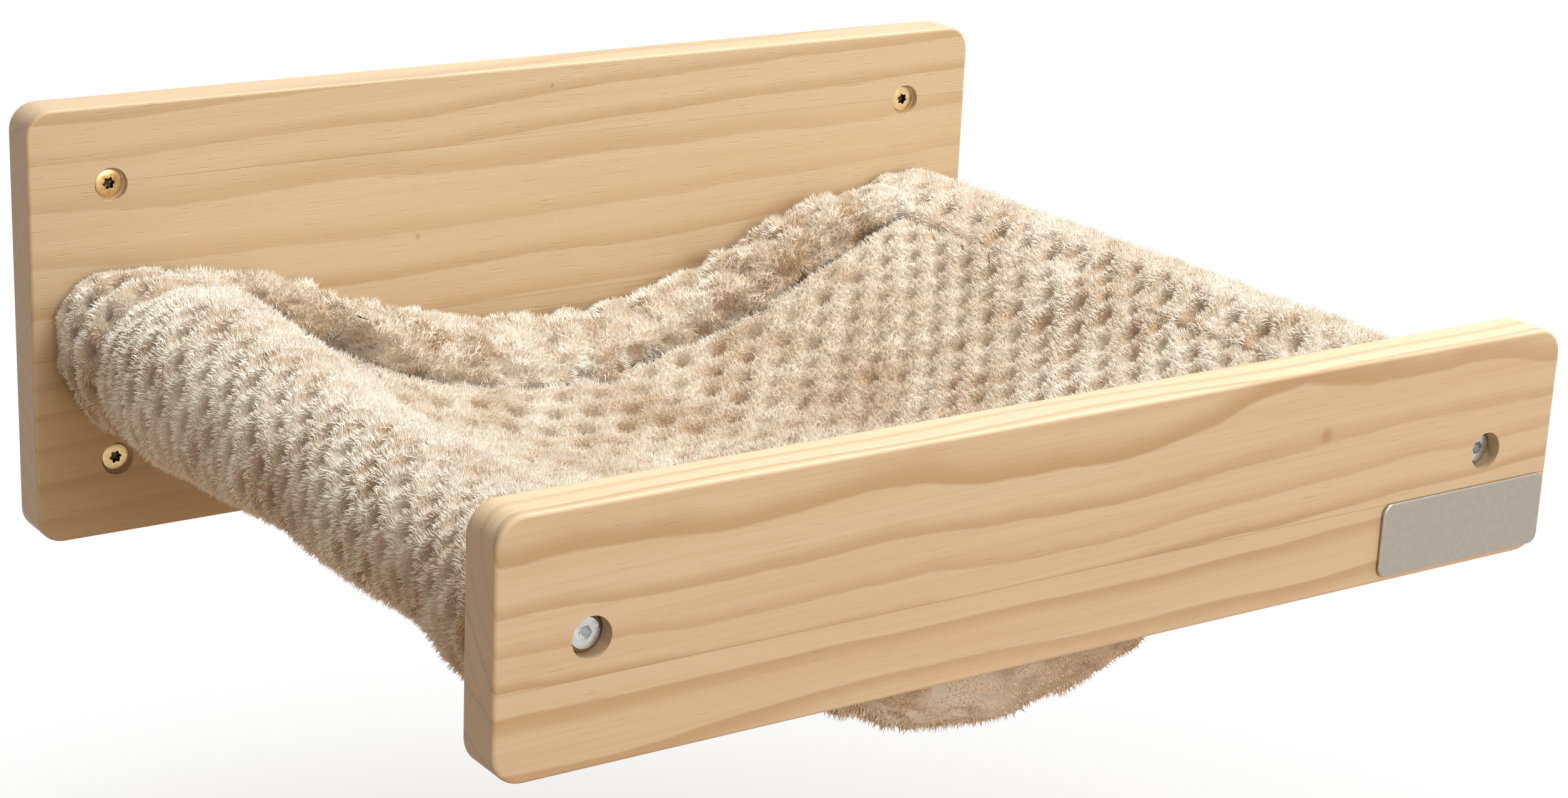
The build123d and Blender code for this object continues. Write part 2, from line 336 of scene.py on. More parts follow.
# %% Plated metal
def make_plating():
    """Mottling of a plated or brushed surface: a slow cloud and fine scratches."""
    group, given, result = new_group(
        "plating",
        [("Place", "Vector", (0, 0, 0)), ("Stretch", "Vector", (1, 1, 1))],
        [("Cloud", "Float"), ("Scratch", "Float")],
    )
    cloud = noise_at(group, given["Place"], (420.0, 420.0, 420.0), detail=3.0)
    stretched = vector_calc(group, "MULTIPLY", given["Place"], given["Stretch"])
    scratch = noise_at(group, stretched, (1.0, 1.0, 1.0), detail=2.0, roughness=0.7)
    group.links.new(cloud, result["Cloud"])
    group.links.new(scratch, result["Scratch"])
    return group


plating = make_plating()


def plated(name, bright, dull, rough_low, rough_high, stretch, scratch_depth):
    """A metal finish that wanders between two colours and two roughnesses."""
    material, tree, shader = new_material(name, Metallic=1.0)
    surface = {"Place": object_place(tree), "Stretch": stretch}
    cloud, scratch = add_node(tree, "ShaderNodeGroup", surface, node_tree=plating).outputs
    tree.links.new(mixed(tree, ramp(tree, cloud, 0.3, 0.7), bright, dull), shader.inputs["Base Color"])
    tree.links.new(ramp(tree, scratch, 0.3, 0.7, rough_low, rough_high), shader.inputs["Roughness"])
    bump(tree, shader, scratch, scratch_depth)
    return material


# bright and dull colour, lowest and highest roughness, the scratches' stretch and their depth
platings = {
    "yellow_zinc": ((0.82, 0.58, 0.29, 1), (0.68, 0.48, 0.22, 1), 0.24, 0.40, (900,) * 3, 0.02 * mm),
    "bright_zinc": ((0.68, 0.68, 0.65, 1), (0.50, 0.51, 0.49, 1), 0.16, 0.34, (1400, 300, 1400), 0.01 * mm),
    "dull_zinc": ((0.62, 0.61, 0.57, 1), (0.45, 0.45, 0.43, 1), 0.40, 0.60, (1200,) * 3, 0.02 * mm),
    "satin_aluminium": ((0.45, 0.40, 0.335, 1), (0.42, 0.375, 0.315, 1), 0.34, 0.42, (2600,) * 3, 0.004 * mm),
}
yellow_zinc, bright_zinc, dull_zinc, satin_plate = (plated(name, *look) for name, look in platings.items())
tree, shader = yellow_zinc.node_tree, yellow_zinc.node_tree.nodes["Principled BSDF"]
depth = axes_of(tree, object_place(tree))[1]
below_rim = ramp(tree, depth, -14.9 * mm, -13.6 * mm)
above_thread = ramp(tree, depth, -10.0 * mm, -11.5 * mm)
plating_colour = shader.inputs["Base Color"].links[0].from_socket
socket_shade = mixed(tree, times(tree, below_rim, above_thread), plating_colour, (0.07, 0.05, 0.03, 1))
tree.links.new(socket_shade, shader.inputs["Base Color"])
rod_ends = [f"{side}_rod_{end}" for side in ("left", "right") for end in ("front", "rear")]
finish_node(bright_zinc, *(end + "_bolt" for end in rod_ends))
finish_node(dull_zinc, *(end + "_insert" for end in rod_ends))
finish_node(satin_plate, "name_plate")

# %% [markdown]
# Foam tape holds the plate. Only its edge can be seen, so it gets a plain closed-cell texture.

# %% Adhesive pad
foam_tape, foam_tree, foam_shader = new_material("foam_tape", Roughness=0.9)
foam_cells = noise_at(foam_tree, object_place(foam_tree), (3000.0, 3000.0, 3000.0))
foam_colour = mixed(foam_tree, foam_cells, (0.55, 0.55, 0.53, 1), (0.72, 0.72, 0.70, 1))
foam_tree.links.new(foam_colour, foam_shader.inputs["Base Color"])
bump(foam_tree, foam_shader, foam_cells, 0.05 * mm)
finish_node(foam_tape, "name_plate_pad")

# %% [markdown]
# Each wall screw is a flat countersunk chipboard screw. The CAD solid has the right size and socket,
# but a plain shank. Here the screw is turned again: its outline is a few points that are spun round
# the screw's axis, the socket gets six lobes, and the thread is one small profile spun along a helix.

# %% Wall screws
screw_steps = 48
thread_pitch, thread_turns, thread_steps = 2.6, 18, 20
thread_start, shank_start, screw_length, point_length = 13.6, 15.0, 60.0, 7.5
lobes, lobe_depth, socket_wall, socket_depth = 6, 0.16, (1.7, 2.1), 2.6
head_outline = (
    (0.0, 2.9), (1.85, 2.5), (1.95, 0.08), (2.05, 0.0), (4.72, 0.0), (4.93, 0.09), (5.0, 0.3),
    (5.0, 0.55), (4.9, 0.7), (1.95, 3.65), (1.8, 3.95), (1.8, 14.6), (1.8, 15.3), (0.0, 15.3),
)
thread_outline = (
    (1.62, 0.0), (1.66, 0.75), (2.44, 1.22), (2.5, 1.3), (2.44, 1.38), (1.66, 1.85), (1.62, 2.6),
)


def spun_outline(bm, outline, steps, rise=0.0, turns=1.0):
    """Spins points (radius, depth) round the Y axis; rise is the way travelled along Y."""
    verts = [bm.verts.new((radius * mm, depth * mm, 0)) for radius, depth in outline]
    edges = [bm.edges.new(pair) for pair in zip(verts, verts[1:])]
    spin = dict(geom=verts + edges, cent=(0, 0, 0), axis=(0, 1, 0), angle=tau * turns, steps=steps)
    bmesh.ops.spin(bm, dvec=(0, rise * mm / steps, 0), use_merge=not rise, **spin)


def piece_from(bm, name, material, smooth_angle=None):
    """Turns a bmesh into an object at the origin with outward faces and one material."""
    bmesh.ops.recalc_face_normals(bm, faces=bm.faces)
    mesh = bpy.data.meshes.new(name)
    bm.to_mesh(mesh)
    bm.free()
    piece = bpy.data.objects.new(name, mesh)
    scene.collection.objects.link(piece)
    mesh.materials.append(material)
    if smooth_angle is not None:
        mesh.shade_smooth()
        mesh.set_sharp_from_angle(angle=smooth_angle)
    return piece


def turn_of(place):
    """The angle of a place round the Y axis."""
    return Vector((place.x, place.z)).angle_signed(Vector((1, 0)), 0.0)


def threaded_screw(head_y):
    """One screw on the Y axis: head and neck in one shell, thread and point in another."""
    bm = bmesh.new()
    spun_outline(bm, head_outline, screw_steps)
    bmesh.ops.remove_doubles(bm, verts=bm.verts, dist=0.001 * mm)
    for vert in bm.verts:
        radius = hypot(vert.co.x, vert.co.z) / mm
        if socket_wall[0] < radius < socket_wall[1] and vert.co.y < socket_depth * mm:
            lobed = 1 + lobe_depth * cos(lobes * turn_of(vert.co))
            vert.co.x, vert.co.z = vert.co.x * lobed, vert.co.z * lobed
    shank = bmesh.new()
    steps, rise = thread_steps * thread_turns, thread_pitch * thread_turns
    spun_outline(shank, thread_outline, steps, rise, thread_turns)
    bmesh.ops.remove_doubles(shank, verts=shank.verts, dist=0.01 * mm)
    bmesh.ops.translate(shank, verts=shank.verts, vec=(0, thread_start * mm, 0))
    for depth, keep in ((shank_start, 1), (screw_length, -1)):
        cut = dict(geom=shank.verts[:] + shank.edges[:] + shank.faces[:], plane_co=(0, depth * mm, 0))
        bmesh.ops.bisect_plane(shank, plane_no=(0, keep, 0), clear_inner=True, **cut)
    rim = [edge for edge in shank.edges if edge.is_boundary]
    bmesh.ops.holes_fill(shank, edges=rim, sides=0)
    for vert in shank.verts:
        taper = min(1.0, max(0.06, (screw_length * mm - vert.co.y) / (point_length * mm)))
        vert.co.x, vert.co.z = vert.co.x * taper, vert.co.z * taper
    part = bpy.data.meshes.new("shank")
    shank.to_mesh(part)
    shank.free()
    bm.from_mesh(part)
    bpy.data.meshes.remove(part)
    bmesh.ops.translate(bm, verts=bm.verts, vec=(0, head_y, 0))
    return bm


for name in [n for n in nodes if n.startswith("wall_screw")]:
    low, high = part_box(name)
    bm = threaded_screw(low.y)
    turned = radians(17) if low.x > 0 else radians(-8)
    bmesh.ops.rotate(bm, verts=bm.verts, cent=(0, 0, 0), matrix=Matrix.Rotation(turned, 3, "Y"))
    bmesh.ops.translate(bm, verts=bm.verts, vec=((low.x + high.x) / 2, 0, (low.z + high.z) / 2))
    screw = piece_from(bm, name.replace("wall_screw", "threaded_screw"), yellow_zinc, radians(32))
    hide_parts(name)
    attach(screw, "root")
    print(screw.name, len(screw.data.polygons), "faces")

# %% [markdown]
# The sling wears a cream plush. The skin under the pile shows in the gaps, so it wears a browner colour than
# the fibres' roots, painted shade for those gaps, in a random mottle with a woven backing's fine grain. The
# fibres' own material reads their UV map: one column of it for each of 32 tints, and up along each column
# from root to tip. A warm sheen keeps the pile soft.

# %% Plush colours
brown_root, pale_root = (0.34, 0.195, 0.08, 1), (0.965, 0.935, 0.835, 1)
brown_tip, pale_tip = (0.56, 0.37, 0.19, 1), (0.99, 0.995, 0.945, 1)


def make_fleece_colour():
    """Cream to beige: tint from 0, dark, to 1, light; rise from 0 at the root to 1 at the tip."""
    group, given, result = new_group(
        "fleece_colour", [("Tint", "Float", 0.5), ("Rise", "Float", 1.0)], [("Color", "Color")]
    )
    root = mixed(group, given["Tint"], brown_root, pale_root)
    tip = mixed(group, given["Tint"], brown_tip, pale_tip)
    group.links.new(mixed(group, ramp(group, given["Rise"], 0.0, 0.85), root, tip), result["Color"])
    return group


fleece_colour = make_fleece_colour()


def wear_fleece(tree, shader, tint, rise):
    """Gives a shader the fleece's colour."""
    fleece = add_node(tree, "ShaderNodeGroup", {"Tint": tint, "Rise": rise}, node_tree=fleece_colour)
    tree.links.new(fleece.outputs[0], shader.inputs["Base Color"])


tint_steps = 32
plush_skin, tree, shader = new_material("plush_skin", Roughness=1.0, Specular_IOR_Level=0.1, Sheen_Weight=0.3)
place = object_place(tree)
knit = noise_at(tree, place, (900, 900, 900), detail=2.0)
# the mottle keeps the skin browner than the roots: painted shade for the gaps between fibres, with a random
# tone
mottle_and_gap_shade = ramp(tree, noise_at(tree, place, (45, 45, 45)), 0.3, 0.7, 0.15, 0.55)
wear_fleece(tree, shader, mottle_and_gap_shade, ramp(tree, knit, 0.3, 0.7, 0.0, 0.4))
bump(tree, shader, knit, 0.8 * mm)

cream_sheen = (1.0, 0.92, 0.78, 1)
plush_pile, tree, shader = new_material(
    "plush_pile", Roughness=0.9, Specular_IOR_Level=0.12, Sheen_Weight=0.5, Sheen_Tint=cream_sheen
)
layout = axes_of(tree, add_node(tree, "ShaderNodeUVMap", uv_map="OFBake").outputs[0])
column = calc(tree, "FLOOR", times(tree, layout[0], float(tint_steps)))
wear_fleece(tree, shader, calc(tree, "DIVIDE", column, tint_steps - 1.0), layout[1])

wadding_finish, tree, shader = new_material("white_wadding", Roughness=1.0)
fluff = noise_at(tree, object_place(tree), (300, 300, 300), detail=3.0)
tree.links.new(mixed(tree, fluff, (0.70, 0.69, 0.66, 1), (0.88, 0.87, 0.85, 1)), shader.inputs["Base Color"])
bump(tree, shader, fluff, 1.0 * mm)
print("made", plush_skin.name, plush_pile.name, "and", wadding_finish.name)

# %% [markdown]
# The sling is long-pile plush over wadding. Each CAD solid of it gives one soft piece its start: the
# solid is copied, its loose triangles are joined, and a voxel remesh gives it an even skin that cloth can
# bend. Where a skin lies open it starts a little inside its solid, because the cloth swells and the pile
# stands up on it. Where it touches a neighbour it stays put; the share from 0 to 1 says how open it is.

# %% Where a skin lies open
rod_x = 170 * mm
roll_height = -2.75 * mm
board_gap = (-20 * mm, -324 * mm)
mid_depth = -172 * mm
bed_edge = 147.8 * mm


def smooth_share(value, start, end):
    """0 at start, 1 at end, with soft ends; start may be the larger."""
    share = min(1.0, max(0.0, (value - start) / (end - start)))
    return share * share * (3 - 2 * share)


def open_sleeve(place, normal):
    """A sleeve is open on its round outside, but not in its bore, at its seam or at its ends."""
    side = abs(place.x) - rod_x
    radius = hypot(side, place.z - roll_height)
    at_seam = abs(place.x) < 150.5 * mm and -8 * mm < place.z < 21 * mm
    inward = -normal.x if place.x > 0 else normal.x
    seam = smooth_share(inward, 0.85, 0.5) if at_seam else 1.0
    return smooth_share(radius, 18 * mm, 22 * mm) * seam * smooth_share(1 - abs(normal.y), 0.15, 0.5)


def open_upper(place, normal):
    """The upper panel is open on top, up to the hems and rolls."""
    return smooth_share(normal.z, 0.15, 0.5)


def open_lower(place, normal):
    """The lower panel is open below."""
    return smooth_share(-normal.z, 0.15, 0.5)


def open_hem(place, normal):
    """A hem is open above and below, on the side that turns from the board, and below the front board."""
    at_front = place.y < mid_depth
    facing = smooth_share(abs(place.y - board_gap[at_front]), 0.5 * mm, 5 * mm)
    hanging = smooth_share(-place.z, 38 * mm, 43 * mm) if at_front else 0.0
    return max(facing, hanging) * smooth_share(bed_edge - abs(place.x), 0.0, 3 * mm)


def shut(place, normal):
    """The wadding is closed in on every side."""
    return 0.0


def furred(node_name, place, normal, bare):
    """Whether pile grows at a place: where the skin lies open, and down into the seams."""
    if node_name == "sling_core":
        return False
    if "sleeve" in node_name:
        return bare > 0.01 or (place.z > 4 * mm and abs(place.x) < 151 * mm and abs(normal.y) < 0.93)
    if node_name == "sling_upper_panel":
        return normal.z > -0.25
    if node_name == "sling_lower_panel":
        return normal.z < 0.25
    return bare > 0.3


# each piece's name, where it lies open, and how far inside its solid its open skin starts, in mm
soft_pieces = {
    "sling_left_sleeve": ("left_roll", open_sleeve, 3.0),
    "sling_right_sleeve": ("right_roll", open_sleeve, 3.0),
    "sling_upper_panel": ("bed_top", open_upper, 5.0),
    "sling_lower_panel": ("bed_underside", open_lower, 5.0),
    "sling_rear_hem": ("rear_hem", open_hem, 0.5),
    "sling_front_hem": ("front_hem", open_hem, 1.5),
    "sling_core": ("bed_wadding", shut, 0.0),
}
skin_cell = 4.0
edge_inset = 3.0
print(len(soft_pieces), "soft pieces, skins with cells of", skin_cell, "mm")

# %% Even skins from the soft solids
def skin_points(piece):
    """Every vertex of a piece as (place, normal), read at once."""
    return [(vert.co.copy(), vert.normal.copy()) for vert in piece.data.vertices]


def set_places(piece, places):
    """Moves every vertex of a piece, written at once."""
    piece.data.vertices.foreach_set("co", [c for place in places for c in place])
    piece.data.update()


def applied(piece):
    """Gives a piece the mesh that its modifiers make, and clears them."""
    made = bpy.data.meshes.new_from_object(piece.evaluated_get(bpy.context.evaluated_depsgraph_get()))
    old, piece.data = piece.data, made
    piece.modifiers.clear()
    bpy.data.meshes.remove(old)


roll_allowance, bed_allowance, hem_allowance = 3.0 * mm, 5.0 * mm, 3.0 * mm
skins = {}
for node_name, (name, open_share, inset) in soft_pieces.items():
    bm = bmesh.new()
    bm.from_mesh(nodes[node_name].data)
    bmesh.ops.remove_doubles(bm, verts=bm.verts, dist=0.02 * mm)
    for vert in bm.verts:
        side = 1 if vert.co.x > 0 else -1
        if "sleeve" in node_name and abs(vert.co.x) < 148.2 * mm:
            vert.co.x -= side * roll_allowance
        elif "sleeve" not in node_name and abs(vert.co.x) > 147.2 * mm:
            vert.co.x += side * bed_allowance
        if "upper" in node_name and abs(vert.co.y - mid_depth) > 117 * mm:
            vert.co.y += hem_allowance * (1 if vert.co.y > mid_depth else -1)
    skin = piece_from(bm, name, plush_skin)
    remesh = skin.modifiers.new("even skin", "REMESH")
    remesh.mode, remesh.voxel_size, remesh.adaptivity = "VOXEL", skin_cell * mm, 0.0
    applied(skin)
    places = []
    for place, normal in skin_points(skin):
        kept = inset + (edge_inset - inset) * smooth_share(abs(place.x), 118 * mm, 145 * mm)
        places.append(place - normal * kept * mm * open_share(place, normal))
    set_places(skin, places)
    skins[node_name] = skin
    print(name, len(skin.data.vertices), "vertices in its skin")

# %% [markdown]
# Now the skins are blown up as cloth, all in one run of twenty frames: pressure from inside, no gravity.
# The result is only used as far as a cap allows, and only where the skin lies open. One subdivision then
# halves the cells, which gives the dimples enough points.

# %% Cloth
swell_cap = 3.0 * mm
swell_frames = 20
for node_name, skin in skins.items():
    if node_name == "sling_core":
        continue
    cloth = skin.modifiers.new("cloth", "CLOTH")
    cloth.settings.use_pressure = True
    cloth.settings.uniform_pressure_force = 4.0
    cloth.settings.effector_weights.gravity = 0.0
for step in range(1, swell_frames + 1):
    scene.frame_set(step)
for node_name, skin in skins.items():
    open_share = soft_pieces[node_name][1]
    start = skin_points(skin)
    applied(skin)
    places, farthest = [], 0.0
    for (place, normal), (blown, _) in zip(start, skin_points(skin)):
        move = blown - place
        farthest = max(farthest, move.length)
        if move.length > swell_cap:
            move *= swell_cap / move.length
        places.append(place + move * open_share(place, normal))
    set_places(skin, places)
    print(skin.name, "swelled by up to", round(farthest / mm, 1), "mm before the cap")
scene.frame_set(1)
for node_name, skin in skins.items():
    if node_name != "sling_core":
        finer = skin.modifiers.new("finer", "SUBSURF")
        finer.levels = finer.render_levels = 1
        applied(skin)

# %% [markdown]
# The real sling doesn't hang evenly. It bulges below the front board, and the crease in front of the rear
# hem wanders. These are sculpted as one smooth field of moves over the whole sling, so that pieces that
# touch move together. Each roll swells by a path of its own along its rod, and the left one has two ring
# creases near the wall board. The hems and the underside stand in tufts, and the cloth is lifted over the
# seams, so that no groove shows there.

# %% Sculpted drape
# place, reach and move of each push, in mm
pushes = (
    ((-104, -115, 0), (28, 80, 60), (0, 0, -5)),
    ((100, -120, 0), (34, 90, 60), (0, 0, 3)),
    ((-66, -312, -60), (30, 34, 40), (-3, 0, -2.5)),
    ((-24, -312, -60), (58, 34, 40), (0, 0, -9.3)),
)
# where across the sling, and how far the crease wanders there
crease_path = (
    (-150, 6), (-130, 6), (-102, 4), (-90, -14), (-75, -21), (-30, -18), (0, -13), (50, -6), (150, 0),
)
# how far in front of the wall, as y, and how much fatter the roll is there
left_roll_swell = (
    (-20, 2), (-46, 4), (-62, 4), (-92, 6.5), (-125, 4.5), (-158, 2.5),
    (-194, 0), (-239, 1), (-271, 0), (-311, 4.5), (-324, 4),
)
right_roll_swell = (
    (-20, 3.5), (-46, 3.5), (-75, 3), (-102, 3), (-160, 2.8), (-240, 3.5), (-300, 5), (-324, 5.5),
)
# how deep each ring crease is, its y and its width
ring_creases = ((8.0, -35, 3.6), (8.5, -57, 4.5))
side_seam_lift, side_seam_width = 1.8, 3.2
rear_seam, rear_seam_lift, rear_seam_width = -60, 3.5, 6
bed_lump, roll_lump = 1.8, 1.6
tuft_height = {"sling_rear_hem": 5.0, "sling_front_hem": 3.4, "sling_lower_panel": 3.4}


def along(path, value):
    """The height of a path of points at value, with soft ends on each step."""
    ordered = sorted(path)
    if value <= ordered[0][0]:
        return ordered[0][1]
    for (start, low), (end, high) in zip(ordered, ordered[1:]):
        if value <= end:
            return low + (high - low) * smooth_share(value, start, end)
    return ordered[-1][1]


def pushed(place, pushes):
    """The sum of some pushes at a place, in mm."""
    move = Vector((0, 0, 0))
    for centre, reach, push in pushes:
        far = sum(((a - b) / r) ** 2 for a, b, r in zip(place / mm, centre, reach))
        move += Vector(push) * exp(-far)
    return move


def drape_move(place):
    """The move of the whole sling at a place: the pushes and the crease's wander, up to the rolls."""
    x, y, z = place / mm
    move = pushed(place, pushes)
    share = smooth_share(-y, 20, 54) * smooth_share(-y, 112, 54)
    move.y += along(crease_path, x) * share
    edge = smooth_share(abs(x), 156, 146)
    return move * edge * mm


roll_pushes = (
    ((-174, -30, -30), (17, 20, 15), (-2, 0, -10)),
    ((174, -30, -30), (17, 20, 15), (2, 0, -6)),
)


def roll_swell(place, path):
    """How much a roll is fatter at this depth, in metres; only the left one is creased deeply."""
    x, y, z = place / mm
    rings = sum(deep * exp(-(((y - middle) / width) ** 2)) for deep, middle, width in ring_creases)
    lumps = roll_lump * noise.noise(Vector((x, y * 0.8, z)) / 22)
    return (along(path, y) - rings * (1.0 if x < 0 else 0.1) + lumps) * mm


def clear_of_seam(place):
    """The right roll's top doesn't swell at the bed's seam, so that no step shows there."""
    return smooth_share(place.x, 148 * mm, 161 * mm) if place.x > 0 and place.z > 0 else 1.0


def lift_over_seams(place):
    """Raises the cloth over the seams beside the bed, and over the one behind its right half."""
    place.z += side_seam_lift * mm * exp(-(((abs(place.x) - bed_edge) / (side_seam_width * mm)) ** 2))
    from_crease = place.y / mm - rear_seam - along(crease_path, place.x / mm)
    lift = rear_seam_lift * mm * exp(-((from_crease / rear_seam_width) ** 2))
    place.z += lift * smooth_share(place.x, 0.0, 40 * mm) * smooth_share(place.x, bed_edge, 135 * mm)


def tuft_noise(place):
    """Lumps about 10 mm wide, where the doubled cloth of the hems and the underside stands in big tufts."""
    return noise.noise(place / (11 * mm) + Vector((5, 5, 5)))


openness = {}
for node_name, skin in skins.items():
    open_share = soft_pieces[node_name][1]
    path = {"sling_left_sleeve": left_roll_swell, "sling_right_sleeve": right_roll_swell}.get(node_name)
    places, openness[node_name] = [], []
    for place, normal in skin_points(skin):
        share = open_share(place, normal)
        openness[node_name].append(share)
        if path:
            side = Vector((place.x - (rod_x if place.x > 0 else -rod_x), 0, place.z - roll_height))
            place += side.normalized() * roll_swell(place, path) * share * clear_of_seam(place)
            place += pushed(place, roll_pushes) * share * mm
        else:
            lumps = bed_lump * noise.noise(Vector((place.x, place.y, 0)) / (30 * mm))
            lumps += tuft_height.get(node_name, 0.0) * tuft_noise(place)
            place += normal * lumps * share * mm
            place += drape_move(place)
        if normal.z > 0 and place.z > -80 * mm and ("sleeve" in node_name or "upper" in node_name):
            lift_over_seams(place)
        places.append(place)
    set_places(skin, places)
    print(skin.name, "sculpted, open share", round(sum(openness[node_name]) / len(places), 2))

# %% [markdown]
# The plush is embossed with small dimples in a staggered grid, about 16 mm apart along a row and 8 mm
# from row to row. The grid follows the fabric: across the bed by the length along its sag, and over the
# rolls by the length round them. At each dimple the skin sinks, and between two rows it stands up in a
# low rib. What the pile needs to know is kept as attributes on the skin: where it grows, how long it is,
# how light it is, with painted shade in its grooves, creases and dents, its place in the grid, and the
# way that it parts from the nearest dimple.

# %% Dimples
dimple_pitch = 16.4
dimple_depth = 5.5
groove_depth = 1.4
roll_rib_depth, bed_rib_depth = 1.6, 1.4
# how much painted shade darkens the grooves along the rows of dimples, on the rolls and on the bed
roll_rib_shade, bed_rib_shade = 0.16, 0.10
hem_level = 0.8
# painted shade in the dents between the big tufts, and a little painted light on their tops
tuft_shade = {"sling_rear_hem": 1.0, "sling_front_hem": 0.55, "sling_lower_panel": 0.55}
# painted shade on the bed's right slope: its middle, its reach and how much darker it makes the pile
slope_shade_patch = ((85, -112), (50, 56), 0.48)


def along_fabric(place):
    """How far a place is from the middle of the sling, in mm along the cloth."""
    x, z = place.x / mm, place.z / mm
    side = min(abs(x), bed_edge / mm)
    slope = 0.0059 * side
    length = side * (1 + slope**2 / 6 - slope**4 / 40)
    if abs(x) > bed_edge / mm:
        angle = Vector((rod_x / mm - abs(x), z - roll_height / mm)).angle_signed(Vector((22, 21.75)), 0.0)
        length += 26 * (-angle if -angle > -0.8 else -angle + tau)
    return length if x > 0 else -length


def hem_middles(skin):
    """The mean height of a hem over each 8 mm across, by which its cloth is measured round it."""
    heights = {}
    for vert in skin.data.vertices:
        heights.setdefault(round(vert.co.x / (8 * mm)), []).append(vert.co.z / mm)
    return {step: sum(found) / len(found) for step, found in heights.items()}


def grid_place(place, middles=None):
    """The place in the dimple grid, in mm across and along, with a slow wander."""
    warp = noise.noise_vector(place / (50 * mm)) * 3.0
    along_depth = place.y / mm + 172
    if middles:
        above = place.z / mm - middles[round(place.x / (8 * mm))]
        along_depth += above * (1 if place.y > mid_depth else -1)
    return along_fabric(place) + warp.x, along_depth + warp.y


def wave_at(grid):
    """1 in the middle of a dimple, 0 on top of a tuft."""
    u, v = grid
    return (1 + cos(tau * u / dimple_pitch) * cos(tau * v / dimple_pitch)) / 2


def rib_at(grid):
    """1 along a row of dimples, 0 on the rib between two rows."""
    return cos(tau * grid[1] / dimple_pitch) ** 2


def parting_at(grid, normal):
    """The direction along the skin that leads away from the nearest dimple."""
    u, v = (tau * way / dimple_pitch for way in grid)
    across = Vector((0, 1, 0)).cross(normal)
    if across.length < 0.1:
        return Vector((0, 0, 0))
    across.normalize()
    depth = normal.cross(across)
    return (across * sin(u) * cos(v) + depth * (cos(u) * sin(v) + 0.8 * sin(2 * v))) * tau / dimple_pitch / 2


def crease_and_underside_shade(node_name, place, normal):
    """How much painted shade darkens the pile on the rear hem's front, where it turns down, and on the front
    hem and under the sling.
    """
    x = place.x / mm
    if node_name == "sling_rear_hem":
        at_ends = max(0.1, smooth_share(x, -20, -70), smooth_share(x, 0, 50))
        return 0.50 * smooth_share(-normal.y, -0.45, 0.5) * at_ends
    return 0.35 if node_name in ("sling_lower_panel", "sling_front_hem") else 0.0


def painted_shading(node_name, place, normal, rib):
    """Painted shade on the pile, as a share below its lightest: in grooves, creases and between tufts, on the
    bed's right slope and the rear hem's right end.
    """
    share = (roll_rib_shade if "sleeve" in node_name else bed_rib_shade) * rib
    share += crease_and_underside_shade(node_name, place, normal)
    share -= tuft_shade.get(node_name, 0.0) * min(0.2, tuft_noise(place))
    middle, reach, patch_shade = slope_shade_patch
    share += patch_shade * exp(-sum(((c / mm - m) / r) ** 2 for c, m, r in zip(place, middle, reach)))
    # painted shade on the rear hem's right end
    if node_name == "sling_rear_hem":
        share += 0.16 * smooth_share(place.x, 40 * mm, 90 * mm)
    return share


for node_name, skin in skins.items():
    middles = hem_middles(skin) if "hem" in node_name else None
    rib_depth = roll_rib_depth if "sleeve" in node_name else bed_rib_depth
    lightest = 1.12 if node_name == "sling_rear_hem" else 0.98
    longer = 1.2 if "hem" in node_name else 1.0
    cover, length, shade, parting, grids, places = [], [], [], [], [], []
    for (place, normal), bare in zip(skin_points(skin), openness[node_name]):
        grid = grid_place(place, middles)
        level = hem_level if "hem" in node_name else 1.0
        if "panel" in node_name:
            level = smooth_share(abs(normal.z), 0.25, 0.6)
        wave, rib = wave_at(grid) * level, rib_at(grid) * level
        parting.extend(parting_at(grid, normal) * level)
        grids.extend((*grid, level))
        room = min(board_gap[0] - place.y, place.y - board_gap[1])
        patch = 1.4 * noise.noise(place / (36 * mm)) + 0.6 * noise.noise(place / (11 * mm))
        cover.append(1.0 if furred(node_name, place, normal, bare) else 0.0)
        near_board = 0.45 + 0.55 * smooth_share(room, 0, 9 * mm)
        length.append((1 + 0.12 * patch) * near_board * longer)
        shaded = painted_shading(node_name, place, normal, rib)
        shade.append(min(1.0, max(0.0, lightest - shaded + 0.2 * patch)))
        sunk = groove_depth * wave**2 + dimple_depth * wave**3 * rib**2 + rib_depth * rib
        places.append(place - normal * sunk * bare * mm)
    set_places(skin, places)
    for attribute, values in (("cover", cover), ("pile_length", length), ("shade", shade)):
        skin.data.attributes.new(attribute, "FLOAT", "POINT").data.foreach_set("value", values)
    for attribute, values in (("parting", parting), ("grid", grids)):
        skin.data.attributes.new(attribute, "FLOAT_VECTOR", "POINT").data.foreach_set("vector", values)
    skin.data.shade_smooth()
    print(skin.name, "dimpled,", len(places), "vertices")

# %% [markdown]
# The pile could be hair curves, but those don't leave Blender as a mesh, so each fibre is a slim closed
# pyramid of four faces. Geometry nodes scatter them over the skin where it is covered, lean each one out
# along the normal, in towards the middle of its lock, since real pile clumps, and away from the nearest
# dimple, where it is short and tinted dark as painted shade. They then write the UV map, and normals that
# mostly follow the skin.

# %% Pile fibres
# lengths in mm: a fibre, a lock of fibres, and how deep the roots sit in the skin
pile_length, lock_size, root_depth = 2.5, 2.4, 0.3
# how strongly fibres lean into their lock, at random and away from a dimple
clumping, straying, leaning = 0.7, 0.3, 2.4
shade_steps = 27.0


